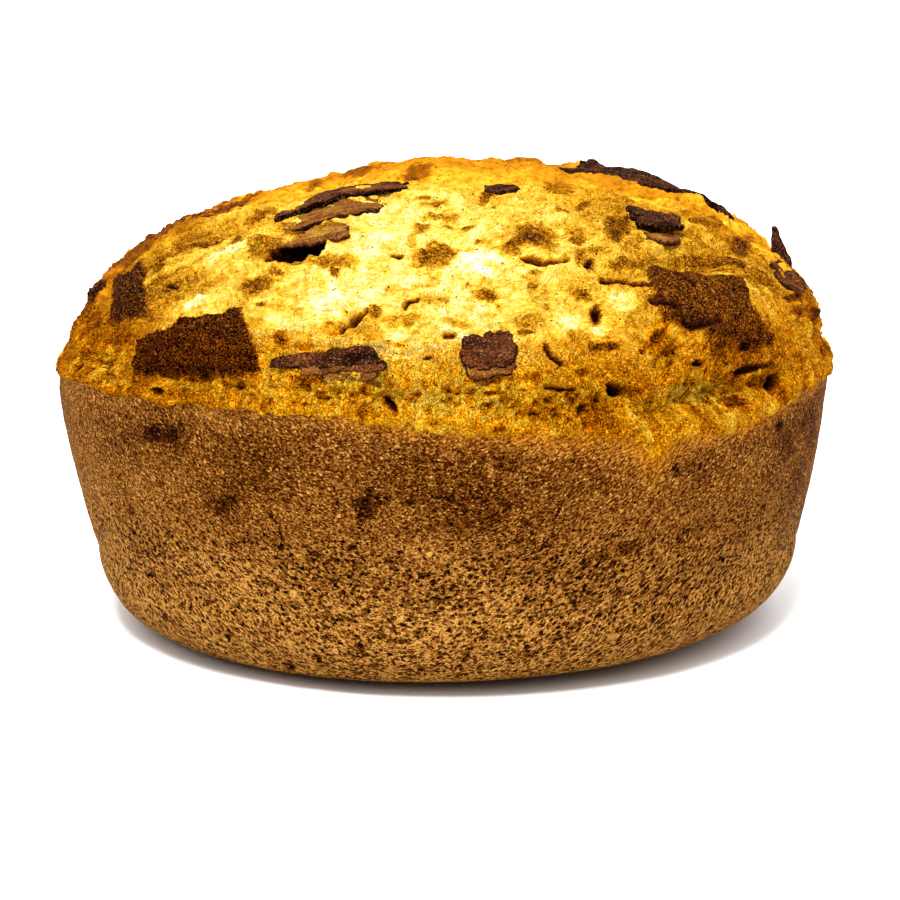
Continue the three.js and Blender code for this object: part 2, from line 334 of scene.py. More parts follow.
def poreValue(tree, space, size, limit, porous):  # ragged round holes, larger where porous is higher
    settings = {"Vector": space, "Scale": 1.6 / (size * mm), "Detail": 1.0}
    bend = addNode(tree, "ShaderNodeTexNoise", {}, settings).outputs["Color"]
    settings = {0: bend, 1: (0.6 * size * mm,) * 3, 2: space}
    bent = addNode(tree, "ShaderNodeVectorMath", {"operation": "MULTIPLY_ADD"}, settings).outputs[0]
    settings = {"Vector": bent, "Scale": 1 / (size * mm), "Randomness": 1.0}
    cell = addNode(tree, "ShaderNodeTexVoronoi", {}, settings).outputs["Distance"]
    nearness = addNode(tree, "ShaderNodeMath", weigh, {0: cell, 1: -1.0, 2: 0.0}).outputs[0]
    depth = addNode(tree, "ShaderNodeMath", weigh, {0: porous, 1: limit, 2: nearness}).outputs[0]
    ranged = {"Value": depth, "From Min": 0.0, "From Max": 0.1, "To Min": 0.0, "To Max": 1.0}
    return addNode(tree, "ShaderNodeMapRange", {}, ranged).outputs["Result"]


def bakedMaterial(name, look):
    material = bpy.data.materials.new(name)
    material.use_nodes = True
    tree = material.node_tree
    shader = tree.nodes["Principled BSDF"]
    if look.get("ownSpace"):
        space = addNode(tree, "ShaderNodeAttribute", {"attribute_name": "space"}).outputs["Vector"]
    else:
        space = addNode(tree, "ShaderNodeTexCoord").outputs["Object"]
    toast = addNode(tree, "ShaderNodeAttribute", {"attribute_name": "toast"}).outputs["Fac"]
    weights = {}
    for field in look["fields"]:
        weights[field] = addNode(tree, "ShaderNodeAttribute", {"attribute_name": field}).outputs["Fac"]
    tone, relief = toast, 0.0
    for kind, size, share, toneAmount, reliefAmount, weight in look["patterns"]:
        if kind == "strands":
            fibre = addNode(tree, "ShaderNodeAttribute", {"attribute_name": "fibre"}).outputs["Vector"]
            value = patternValue(tree, fibre, kind, size, share)
        elif kind == "pores":
            value = poreValue(tree, space, size, share, weights[weight])
        else:
            value = patternValue(tree, space, kind, size, share)
        if weight and kind != "pores":  # the pores' size has its weight already
            value = addNode(tree, "ShaderNodeMath", multiply, {0: value, 1: weights[weight]}).outputs[0]
        # where toast and relief have opposite signs, the bump's hollows come out darker and its tops paler:
        # painted shade on the grain
        tone = addNode(tree, "ShaderNodeMath", weigh, {0: value, 1: toneAmount, 2: tone}).outputs[0]
        relief = addNode(tree, "ShaderNodeMath", weigh, {0: value, 1: reliefAmount, 2: relief}).outputs[0]
    settings = {"Height": relief, "Strength": 1.0, "Distance": look["bump"] * mm}
    bump = addNode(tree, "ShaderNodeBump", {}, settings).outputs["Normal"]
    ramp = addNode(tree, "ShaderNodeValToRGB", {}, {"Fac": tone})
    setStops(ramp.color_ramp.elements, look["colours"])
    colour = ramp.outputs["Color"]
    if "dust" in look:
        size, share, amount, hexText, field = look["dust"]
        dusted = patternValue(tree, space, "specks", size, share)
        for factor in [amount, weights[field]] if field else [amount]:
            dusted = addNode(tree, "ShaderNodeMath", multiply, {0: dusted, 1: factor}).outputs[0]
        settings = {0: dusted, 6: colour, 7: linearColour(hexText)}
        colour = addNode(tree, "ShaderNodeMix", {"data_type": "RGBA"}, settings).outputs[2]
    if "tint" in look:
        field, hexText = look["tint"]
        share = addNode(tree, "ShaderNodeAttribute", {"attribute_name": field}).outputs["Fac"]
        kind = {"data_type": "RGBA", "blend_type": "MULTIPLY"}
        settings = {0: share, 6: colour, 7: linearColour(hexText)}
        colour = addNode(tree, "ShaderNodeMix", kind, settings).outputs[2]
    tree.links.new(colour, shader.inputs["Base Color"])
    tree.links.new(bump, shader.inputs["Normal"])
    shader.inputs["Roughness"].default_value = look["roughness"]
    shader.inputs["Specular IOR Level"].default_value = look["shine"]
    return material


def makePiece(name, bm, places, fields, material):
    for fieldName, values in fields.items():
        kind = bm.verts.layers.float if values.ndim == 1 else bm.verts.layers.float_vector
        layer = kind.new(fieldName)
        for vertex, value in zip(bm.verts, values.tolist()):
            vertex[layer] = value
    for vertex, place in zip(bm.verts, (places * mm).tolist()):
        vertex.co = place
    bmesh.ops.remove_doubles(bm, verts=bm.verts, dist=1e-6)
    bmesh.ops.recalc_face_normals(bm, faces=bm.faces)
    mesh = bpy.data.meshes.new(name)
    bm.to_mesh(mesh)
    bm.free()
    mesh.shade_smooth()
    mesh.materials.append(material)
    piece = bpy.data.objects.new(name, mesh)
    bpy.context.scene.collection.objects.link(piece)
    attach(piece, "root")
    print(name, sum(len(face.vertices) - 2 for face in mesh.polygons), "triangles")
    return piece


def placesOf(bm):
    return np.array([vertex.co for vertex in bm.verts])


domeLook = {  # the risen dome; drops, x and y say from where to where something grows
    "cells": 440,  # along each side of the square grid that is bent into the dome
    "lip": {"proud": 0.6, "proudFrom": 84, "overhang": 0.6, "hangFrom": 87.5, "lift": 0.4,
            "ragged": [(5, 0.8), (1.7, 0.9)]},  # the foot's edge
    "skirt": {"inset": 8, "below": 6, "foot": 45.0},  # hidden inside the wall
    "shades": {  # toast all over, and what is added to it at the front, right, left and in torn crumb
        "all": 0.46,
        "front": {"y": (30, -55), "x": -8, "halfWidth": 62, "toast": -0.35},
        "frontRim": {"drop": (66, 80), "toast": 0.1},
        "right": {"x": (35, 75), "toast": -0.07},
        "left": {"x": (-50, -85), "drop": (76, 66), "toast": 0.08},
        "tear": -0.04,
    },
    "patchStrength": {"all": 0.9, "front": -0.22},
    "ragged": [(0.32, 4.5, 4), (0.26, 1.5, 3)],  # of all edges: share, size, octaves
    "lumps": {"size": 6.5, "height": 0.65},
    "ledges": {"size": 13, "steps": 3, "height": 1.3, "fade": (2, 10), "toast": 0.1},  # the torn layers; their toast darkens each step's foot, painted shade
    # wrinkles: their toast darkens the sunken creases, painted shade
    "wrinkles": {"size": 9, "stretch": 4.2, "height": 0.5, "halfWidth": 0.05, "toast": 0.1},
    "bubbles": [(3.6, 0.9, 0.2), (1.6, 0.4, 0.12)],  # size, depth and toast of the torn crumb's cells; the toast darkens the cells' hollows, painted shade
    "smoothCrumb": {"depth": 0.2, "toast": 0.15},  # the share of the bubbles outside torn crumb
    "paleGrit": 0.25,  # how much of the fine grain shows on pale crumb
    "farGrit": 0.05,  # and on the smoother crown and sides
    "lowGrit": {"drop": (62, 76), "grit": 0.95},  # and low down, where the crumb is yellower too
    "streaks": {"size": 4.2, "stretch": 5, "height": 0.5, "toast": 0.2, "x": (25, 75)},
    "fibre": {"size": 9, "bend": 4, "squeeze": (1, 1, 0.35)},  # the threads run down the hill
    "clouds": [(11, 0.09), (3.6, 0.07)],  # sizes in mm, toast
    # plate edges: a groove, and toast that darkens it as painted shade
    "plateEdge": {"ragged": 1.4, "groove": 0.4, "toast": 0.14, "mottle": 0.25},
    # cave: the shares of its oval between which it turns painted black, painted shade under the flap
    "cave": {"oval": (298, 249, 48, 14, 14), "depth": 7, "ragged": 0.4, "dark": (0.02, 0.2)},
    "tears": [  # torn, fibrous crumb: azimuth, drop, half sizes across and down in mm, turn
        (-52, 83, 16, 6, 0),
        (-73, 84, 14, 5, 0),
        (-150, 87, 16, 4, 0),
        (-126, 84.5, 18, 3.5, 0),
        (-103, 84, 12, 4, 0),
        (-57, 69, 6, 5, 0),
        (-88, 83, 14, 4, 0),
    ],
    "plates": [  # corners from uphill left, clockwise; how soft the uphill, right, downhill and left
        # edges are, in pixels; height in mm; toast
        ([(136, 340), (240, 307), (260, 372), (134, 370)], (1, 4, 8, 1.5), 1.1, 0.85),
        ([(118, 277), (144, 266), (146, 314), (109, 323)], (3, 3, 5, 3), 1.0, 0.84),
        ([(647, 271), (740, 280), (768, 345), (662, 318)], (1.5, 2.5, 6, 1.5), 1.6, 0.74),
    ],
    "patches": {  # x, y, width, height and tilt of an oval that the camera sees, and its toast
        # left
        "smear": (96.5, 291, 26, 11, 35, 0.86),
        "brownRightOfQuad": (160, 267.5, 9, 19, -20, 0.62),
        "bit1": (185, 247.5, 18, 5, 15, 0.62),
        "bit2": (203.3, 243.3, 16, 7, 10, 0.64),
        "streakDark": (133.3, 258.3, 22, 7, 40, 0.68),
        "yellowTop": (177, 279, 20, 12, 0, 0.32),
        "paleA": (225, 258, 44, 26, 20, 0.12),
        "goldInA": (232, 269, 10, 8, 0, 0.36),
        "diagPale": (198, 301.5, 30, 8, 45, 0.14),
        "goldLeft": (163, 298, 20, 30, 0, 0.36),
        "brownInGold": (175, 298, 8, 5, 0, 0.54),
        "goldUnderQuad": (149, 318, 20, 8, 0, 0.42),
        "oliveBrown": (123.3, 335, 16, 22, 0, 0.62),
        "brownFarLeft": (92, 322, 22, 30, 0, 0.64),
        "goldLow": (105, 362, 40, 34, 0, 0.26),
        "paleDab": (110, 352.5, 6, 5, 0, 0.2),
        # painted shade in the gap where the crumb meets the wall's lip
        "lipGapShade1": (160, 390, 11, 5, 0, 0.88),
        "lipGapShade2": (173, 392, 8, 4, 0, 0.72),
        "lipGapShade3": (208, 380, 7, 6, 0, 0.78),
        "lipGapShade4": (238, 388, 9, 5, 0, 0.76),
        "underPlate": (183, 372, 100, 14, 0, 0.52),
        # flap
        "paleWedge": (244, 249, 14, 6, 60, 0.1),
        "leftBrown": (265, 249, 36, 20, 0, 0.64),
        "flapBrown": (316, 232, 64, 16, 0, 0.66),
        "caveEnd": (341, 238, 18, 9, 0, 0.76),
        "brownLeftOfSlab": (260, 216, 30, 10, 15, 0.64),
        "streak": (237, 242.5, 11, 5, 30, 0.7),
        "orangeLeft": (207, 239, 34, 13, 10, 0.56),
        "yellowLeft": (230, 229, 30, 14, 20, 0.38),
        "brownTop1": (315, 187, 18, 9, 30, 0.66),
        "brownTop2": (358, 174, 36, 7, 10, 0.7),
        "dabTop": (343, 187, 8, 5, 0, 0.6),
        "orangeGrain": (332, 262, 50, 14, 0, 0.52),
        "grainDark": (334, 272, 9, 7, 0, 0.8),
        "gold277": (277, 272, 15, 9, 0, 0.5),
        "paleRow": (382, 237, 34, 44, 0, 0.1),
        "gold298": (298, 260, 16, 6, 0, 0.42),
        # middle left
        "spotA": (257, 286, 36, 14, 20, 0.68),
        "squiggle": (261, 306, 11, 4, 0, 0.76),
        "paleBig1": (323, 306, 50, 34, 0, 0.0),
        "paleBig2": (287, 322, 40, 18, 0, 0.02),
        "spot2": (283, 341, 17, 20, 0, 0.64),
        "goldRim": (302, 346, 20, 10, 0, 0.42),
        "crackEnd": (374, 312, 16, 14, 0, 0.54),
        "gold334": (334, 329, 24, 16, 0, 0.38),
        "gold370": (370, 332, 30, 22, 0, 0.36),
        "goldBand": (402, 322, 40, 12, 0, 0.36),
        "yellow396": (396, 292, 26, 6, 0, 0.32),
        "goldE": (434, 301, 30, 10, 0, 0.42),
        "pale397": (397, 356, 22, 16, 0, 0.03),
        "pale372": (372, 256, 30, 16, 0, 0.04),
        "specks422": (422, 286, 22, 6, 0, 0.4),
        "brown387": (387, 341.7, 9, 3, 0, 0.68),
        "brown399": (399, 347, 9, 5, 0, 0.64),
        "squiggle428": (428, 358, 11, 4, 0, 0.8),
        "gold428": (428, 381, 20, 8, 0, 0.42),
        "brown435": (435, 386, 8, 4, 0, 0.64),
        "arc414": (414, 397, 15, 6, 25, 0.58),
        # painted shade in the hole
        "hole392": (392, 405.5, 27, 9, -50, 0.76),
        "arc367": (367, 385, 18, 6, 35, 0.6),
        "lowBrown310": (310, 380, 36, 11, 0, 0.64),
        "arc321": (321, 394, 14, 7, 30, 0.56),
        "black306": (306, 403.5, 7, 3, 0, 0.88),
        "brown268": (268, 401, 12, 8, 0, 0.66),
        "pale347": (347, 383, 22, 7, 10, 0.12),
        "pale337": (337, 401, 14, 7, 0, 0.22),
        "brown364": (364, 410, 16, 12, 0, 0.62),
        # crown
        "smudge": (418, 175, 34, 16, 10, 0.68),
        "brown424": (424, 197, 14, 5, 0, 0.58),
        "thin433": (433, 204, 28, 4, 0, 0.62),
        "tail487": (487, 198, 14, 8, 30, 0.6),
        "dab492": (492, 208, 9, 3, 0, 0.66),
        "pale451": (451, 184, 36, 10, 0, 0.26),
        "pale547": (547, 218, 44, 9, 0, 0.14),
        "brown559": (559, 189, 30, 14, 0, 0.58),
        "dab562": (562, 211, 12, 4, 0, 0.68),
        "brown583": (583, 203, 12, 6, 0, 0.6),
        "olive447": (447, 225, 12, 5, 0, 0.54),
        "brown467": (467, 226, 14, 5, 0, 0.64),
        "gold441": (441, 217, 34, 8, 0, 0.42),
        "brown423": (423, 228, 16, 11, 0, 0.62),
        "orange413": (413, 241, 10, 12, 0, 0.5),
        "haloB": (430, 265, 38, 9, 0, 0.4),
        "spotB": (438, 255, 40, 18, 0, 0.72),
        "orange483": (483, 243.5, 20, 10, 0, 0.46),
        "haloC": (509, 250, 22, 16, 0, 0.5),
        "spotC": (533, 237, 50, 24, 0, 0.62),
        "coreC": (532, 239, 20, 12, 0, 0.8),
        "brown573": (573, 232, 20, 10, 0, 0.52),
        "brown577": (577, 241, 16, 9, 0, 0.68),
        "brown580": (580, 256, 10, 15, 0, 0.62),
        "black588": (588, 264, 6, 9, 0, 0.92),
        "brown535": (535, 273, 16, 4, 0, 0.54),
        "brown532": (532, 284, 10, 6, 0, 0.64),
        "crack467": (467, 286, 3, 5, 0, 0.72),
        "spotD": (485, 296, 26, 11, 0, 0.64),
        "brown579": (579, 294, 18, 9, 0, 0.6),
        "pale483": (483, 265, 50, 30, 0, 0.01),
        "pale400": (400, 260, 18, 18, 0, 0.05),
        # middle low
        "dark525": (525, 333.5, 16, 4, 0, 0.76),
        "brown514": (514, 352, 12, 7, 0, 0.62),
        "slit604": (604, 347, 30, 9, 0, 0.8),
        "brown580b": (580, 373, 12, 7, 0, 0.68),
        "brown527": (527, 378, 22, 7, 0, 0.6),
        "field537": (537, 410, 42, 20, 0, 0.48),
        "curve515": (515, 404, 10, 4, 20, 0.62),
        "dab450": (450, 392, 5, 5, 0, 0.68),
        "dab457": (457, 405, 7, 5, 0, 0.7),
        "dab488": (488, 404, 14, 4, 0, 0.68),
        "pale498": (498, 396, 34, 8, 0, 0.18),
        "olive590": (590, 408, 30, 28, 0, 0.66),
        "dab428": (428, 410, 10, 7, 0, 0.6),
        "dab437": (437, 422, 12, 5, 0, 0.62),
        "dab497": (497, 427, 10, 4, 0, 0.72),
        "brown588": (588, 298, 9, 7, 0, 0.62),
        "dark597": (597, 314, 14, 17, 0, 0.8),
        "pale563": (563, 326, 28, 26, 0, 0.02),
        "pale602": (602, 331, 22, 11, 0, 0.04),
        "gold577": (577, 337, 20, 12, 0, 0.46),
        "dab547": (547, 307, 5, 7, 0, 0.66),
        "gold525": (525, 322, 34, 13, 0, 0.36),
        "gold456": (456, 323, 30, 9, 0, 0.36),
        "under5": (492, 377, 40, 14, 0, 0.66),
        "under5b": (470, 380, 14, 8, 0, 0.72),
        "dab493": (493, 392.5, 20, 5, 0, 0.86),
        # right
        "streak704": (704, 224, 30, 7, -12, 0.6),
        "brown742": (742, 246, 18, 22, -40, 0.68),
        "valley": (709, 262, 60, 11, -5, 0.62),
        "wing": (618, 227, 24, 22, 0, 0.72),
        "brow": (682, 266, 64, 10, -12, 0.46),
        "left626": (626, 265, 40, 12, 0, 0.56),
        "dark590": (590, 265, 9, 9, 0, 0.78),
        "orange592": (592, 250, 20, 11, 0, 0.55),
        "orange612": (612, 223, 16, 10, 0, 0.64),
        "pale625": (623, 301, 28, 24, 0, 0.02),
        "dark794": (794, 297, 14, 8, 0, 0.86),
        "dark811": (811, 316, 10, 14, 0, 0.8),
        "brown798": (798, 310, 16, 10, 0, 0.66),
        "gold700": (700, 240, 40, 22, 0, 0.36),
        "gold756": (756, 281, 14, 16, 0, 0.4),
        "brown641": (641, 353, 10, 6, 0, 0.72),
        "slopeGold": (663, 346, 34, 38, 0, 0.5),
        "slope": (739, 342, 62, 42, 0, 0.64),
        "slopeDab1": (724, 344, 9, 6, 0, 0.88),
        "slopeDab2": (746, 345, 12, 9, 0, 0.9),
        "slopeDab3": (767, 340, 8, 12, 0, 0.84),
        "black697": (697, 363, 14, 6, 0, 0.88),
        "shadowBand": (749, 369, 46, 8, 15, 0.78),
        # painted shade in the hollow below the shoulder
        "hollow": (773, 384, 10, 20, -15, 0.94),
        "plate737": (737, 381, 18, 12, 0, 0.5),
        "dark737": (737, 401, 18, 10, 0, 0.68),
        "brown757": (757, 382, 16, 14, 0, 0.64),
        "torn690": (690, 393, 66, 22, 10, 0.22),
        "pale660": (660, 396, 16, 18, 0, 0.16),
        "pale730": (730, 416, 22, 8, 15, 0.16),
        "ridge1": (630, 408, 9, 26, 25, 0.1),
        "ridge2": (646, 430, 8, 30, 25, 0.1),
        "fluffy656": (656, 414, 18, 16, 0, 0.34),
        "fluffy690": (690, 420, 30, 11, 10, 0.36),
        # painted shade in the hole, and beside it
        "hole613": (613, 389, 11, 12, 0, 0.96),
        "shadeBeside613": (631, 391, 28, 11, 0, 0.58),
        "fibre601": (601, 418, 26, 20, 0, 0.5),
        "goldRight": (800, 377, 38, 32, 0, 0.36),
        "paleRight": (798, 335, 26, 34, 0, 0.32),
        "olive797": (797, 357, 10, 10, 0, 0.62),
        "limb823": (823, 342, 8, 24, 0, 0.66),
    },
    "sidePatches": [  # on the left and the back: azimuth, drop, half sizes in mm, turn, toast
        (180, 47, 11, 24, 0, 0.84),
        (150, 62, 12, 6, 10, 0.7),
        (122, 40, 9, 5, 0, 0.64),
        (95, 68, 14, 5, -10, 0.72),
        (62, 76, 9, 4, 0, 0.66),
        (25, 50, 9, 6, 20, 0.62),
    ],
    "cracks": [  # half width in pixels, depth in mm, and the pixels that it runs through; painted black down the middle, painted shade in the crack
        (2, 1.2, [(342, 332), (349, 324)]),
        (2.5, 2.6, [(349, 324), (357, 318), (366, 312)]),
        (2, 1.0, [(405, 308), (410, 304), (418, 303)]),
        (2, 1.0, [(393, 257), (401, 256)]),
        (2.3, 1.4, [(522, 259), (545, 262), (567, 259)]),
        (2.6, 1.6, [(545, 348), (550, 357), (561, 363)]),
        (2, 1.0, [(547, 388), (575, 389)]),
        (2, 0.8, [(445, 335), (454, 334)]),
        (2, 1.0, [(168, 286), (177, 287)]),
        (3.2, 2.0, [(652, 300), (676, 309)]),
        (3.6, 2.0, [(684, 322), (695, 325), (712, 324)]),
        (2, 1.2, [(602, 281), (622, 280), (650, 285)]),
        (2.3, 1.2, [(676, 276), (690, 288)]),
        (3, 1.6, [(268, 261), (285, 257), (300, 254)]),
    ],
    "pits": [  # an oval as above, and its depth in mm; painted black at the middle, painted shade in the dip
        (613, 389, 12, 12, 0, 3.5),
        (392, 405.5, 17, 6, -50, 2),
        (773, 384, 12, 20, -15, 3.5),
        (749, 369, 24, 8, 15, 1.2),
        (697, 363, 12, 5, 0, 0.8),
        (746, 345, 9, 6, 0, 0.8),
        (160, 390, 9, 4, 0, 1.2),
        (588, 264, 5, 8, 0, 1.6),
        (428, 358, 8, 3, 0, 0.8),
        (597, 314, 9, 12, 0, 1.2),
    ],
}

crumbLook = {  # dry, matt crumb: chalky and pale where it tore late, toasted where it stood proud
    "fields": ["grit", "brown", "tear", "gold"],
    "patterns": [  # kind, size in mm, share or swirl, toast, relief, weight
        # rows whose toast and relief have opposite signs paint the grain's hollows darker: painted shade
        ("cloud", 2.4, 0.6, 0.3, -0.4, "grit"),
        ("strands", 1.5, 0.06, -0.12, 0.5, "grit"),
        ("cloud", 0.7, 0.4, 0.6, -0.5, "grit"),
        ("cells", 0.3, 0.0, 0.5, -0.3, "grit"),
        ("strands", 2.6, 0.06, -0.1, 0.7, "tear"),
        ("specks", 0.42, 0.006, 0.5, -0.5, None),
    ],
    "tint": ("gold", "#ffe060"),  # the crumb that tore late, low down, is yellower
    "dust": (0.3, 0.13, 0.34, "#90704c", "brown"),  # flour on the scorched plates: size, share, amount
    "bump": 1.6,
    "roughness": 0.9,
    "shine": 0.01,
    "colours": [  # chalky, yellow, golden, toasted, browned, scorched and charred crumb; the charred end also paints the shade in the cave, cracks and pits
        (0.0, "#d4d0bc"), (0.12, "#d4bc58"), (0.26, "#cc9820"), (0.42, "#ac700c"),
        (0.6, "#7c4404"), (0.8, "#481c04"), (1.0, "#0c0200"),
    ],
}


def domeToast(drop, points, seen, shown, ragged, tear):
    shades, x = domeLook["shades"], points[:, 0]
    middle, rim, left = shades["front"], shades["frontRim"], shades["left"]
    front = ease(*middle["y"], points[:, 1]) * hill(x - middle["x"], middle["halfWidth"])
    toast = shades["all"] + middle["toast"] * front + rim["toast"] * ease(*rim["drop"], drop) * front
    toast += shades["right"]["toast"] * ease(*shades["right"]["x"], x)
    toast += left["toast"] * ease(*left["x"], x) * ease(*left["drop"], drop) + shades["tear"] * tear
    strength = domeLook["patchStrength"]["all"] + domeLook["patchStrength"]["front"] * front
    for *mark, patchToast in domeLook["sidePatches"]:
        toast += strength * (patchToast - toast) * domeOval(points, mark, ragged, 0.4)
    for *oval, patchToast in domeLook["patches"].values():
        toast += strength * shown * (patchToast - toast) * ovalShare(seen, oval, ragged, 0.36)
    for size, amount in domeLook["clouds"]:
        toast += amount * grain(points, size, 4)
    return toast


def roughenCrumb(drop, points, tear, height, toast):  # adds to height and toast
    look = domeLook
    lip, ledges, wrinkles, smooth = look["lip"], look["ledges"], look["wrinkles"], look["smoothCrumb"]
    height += lip["proud"] * ease(lip["proudFrom"], 90, drop)
    height += look["lumps"]["height"] * grain(points, look["lumps"]["size"]) * (1 + tear)
    stepped, foot = terraces(grain(points, ledges["size"], 4), ledges["steps"])
    height += ledges["height"] * stepped * ease(*ledges["fade"], 90 - drop)
    creases = np.abs(grain(folded(points, drop, wrinkles["stretch"]), wrinkles["size"], 3))
    height += wrinkles["height"] * (1 - 3 * creases)
    # darker at the ledges' feet and in the creases: painted shade
    toast += ledges["toast"] * foot + wrinkles["toast"] * hill(creases, wrinkles["halfWidth"])
    for size, depth, bubbleToast in look["bubbles"]:
        hollow = alveoli(points, size)
        height -= depth * hollow * (smooth["depth"] + tear)
        # darker inside the bubbles: painted shade in their hollows
        toast += bubbleToast * (hollow - 0.3) * (smooth["toast"] + tear)
    streaks = look["streaks"]  # towards both sides
    side = ease(*streaks["x"], np.abs(points[:, 0]))
    streaked = grain(points * [1 / streaks["stretch"], 1, 1 / streaks["stretch"]], streaks["size"], 3)
    height -= streaks["height"] * streaked * side
    toast += streaks["toast"] * streaked * side


def raisePlates(seen, shown, ragged, height, toast):  # adds to height and toast
    edges = domeLook["plateEdge"]
    for corners, softness, proud, plateToast in domeLook["plates"]:
        share = shown * plateShare(seen, corners, softness, edges["ragged"] * ragged)
        edge = 4 * share * (1 - share)
        height += proud * share - edges["groove"] * edge
        # the toast along the edge is painted shade in the groove
        toast += (plateToast + edges["mottle"] * ragged - toast) * share + edges["toast"] * edge


def cutHoles(seen, shown, ragged, height):  # takes from height; 1 in the cave, cracks and pits, which are then painted black as painted shade
    look, cave = domeLook, domeLook["cave"]
    pit = shown * ovalShare(seen, cave["oval"], cave["ragged"] * ragged)
    height -= cave["depth"] * pit
    pit = ease(*cave["dark"], pit)
    for halfWidth, depth, path in look["cracks"]:
        share = shown * crackShare(seen, path, halfWidth, ragged)
        height -= depth * share
        pit = np.maximum(pit, share)
    for *oval, depth in look["pits"]:
        share = shown * ovalShare(seen, oval, ragged)
        height -= depth * share
        pit = np.maximum(pit, share)
    return pit


def crumbFields(drop, points, shown, toast, tear, pit):  # what the crumb's material reads
    look, low = domeLook, ease(*domeLook["lowGrit"]["drop"], drop) * shown
    far = ease(10, 50, points[:, 1] + 50) + ease(75, 100, np.abs(points[:, 0]))
    unpitted = 1 - 0.8 * pit
    grit = look["paleGrit"] + (1 - look["paleGrit"]) * ease(0.15, 0.6, toast)
    grit *= (1 - (1 - look["farGrit"]) * np.clip(far, 0, 1)) * unpitted
    threads = look["fibre"]
    bends = [grain(points + shift, threads["size"], 2) for shift in (20, 60, 110)]
    return {
        "toast": toast,
        "tear": tear * (1 - pit),
        "grit": np.maximum(grit, look["lowGrit"]["grit"] * low * unpitted),
        "fibre": (points + threads["bend"] * np.column_stack(bends)) * threads["squeeze"] * mm,
        "gold": np.maximum(tear, low) * (1 - pit),
        "brown": ease(0.6, 0.8, toast) * (1 - pit),
    }


def domeSurface(azimuth, drop, points):  # the relief along the normal, and the material's fields
    ragged = sum(share * grain(points, size, octaves) for share, size, octaves in domeLook["ragged"])
    tear = np.zeros(len(points))
    for mark in domeLook["tears"]:
        tear = np.maximum(tear, domeOval(points, mark, ragged, 0.5))
    height = broadRelief(azimuth, drop)
    outward = domeNormal(azimuth, drop)
    relieved = points + outward * height[:, None]
    seen, shown = seenAt(relieved), shownShare(relieved, outward)
    toast = domeToast(drop, points, seen, shown, ragged, tear)
    roughenCrumb(drop, points, tear, height, toast)
    raisePlates(seen, shown, ragged, height, toast)
    pit = cutHoles(seen, shown, ragged, height)
    # the cave, cracks and pits are painted black: painted shade in them
    toast += (1.0 - toast) * pit
    return height, crumbFields(drop, points, shown, toast, tear, pit)


def buildDome(material):
    bm = bmesh.new()
    cells = domeLook["cells"]
    bmesh.ops.create_grid(bm, x_segments=cells, y_segments=cells, size=1)
    rimEdges = [edge for edge in bm.edges if edge.is_boundary]
    for level in (-1, -2):  # the skirt's two rings, still flat, told apart by their z
        made = bmesh.ops.extrude_edge_only(bm, edges=rimEdges)["geom"]
        for vertex in [item for item in made if isinstance(item, bmesh.types.BMVert)]:
            vertex.co.z = level
        rimEdges = [item for item in made if isinstance(item, bmesh.types.BMEdge) and item.is_boundary]
    bmesh.ops.contextual_create(bm, geom=rimEdges)
    flat = placesOf(bm)
    azimuth = np.degrees(np.arctan2(flat[:, 1], flat[:, 0]))
    drop = 90 * np.abs(flat[:, :2]).max(axis=1)
    points = smoothDome(azimuth, drop)
    height, fields = domeSurface(azimuth, drop, points)
    places = points + domeNormal(azimuth, drop) * height[:, None]
    lip, skirt = domeLook["lip"], domeLook["skirt"]
    hang = lip["overhang"] + sum(depth * grain(points, size, 2) for size, depth in lip["ragged"])
    places[:, 2] -= np.clip(hang, -lip["lift"], None) * ease(lip["hangFrom"], 90, drop)
    hidden = flat[:, 2] < -0.5
    places[hidden] = polarPoints(azimuth, loafForm["rimRadius"] - skirt["inset"], skirt["foot"])[hidden]
    upper = hidden & (flat[:, 2] > -1.5)
    places[upper, 2] = rimHeight(azimuth[upper]) - skirt["below"]
    piece = makePiece("risenDome", bm, places, fields, material)
    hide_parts("loaf")


buildDome(bakedMaterial("tornCrumb", crumbLook))


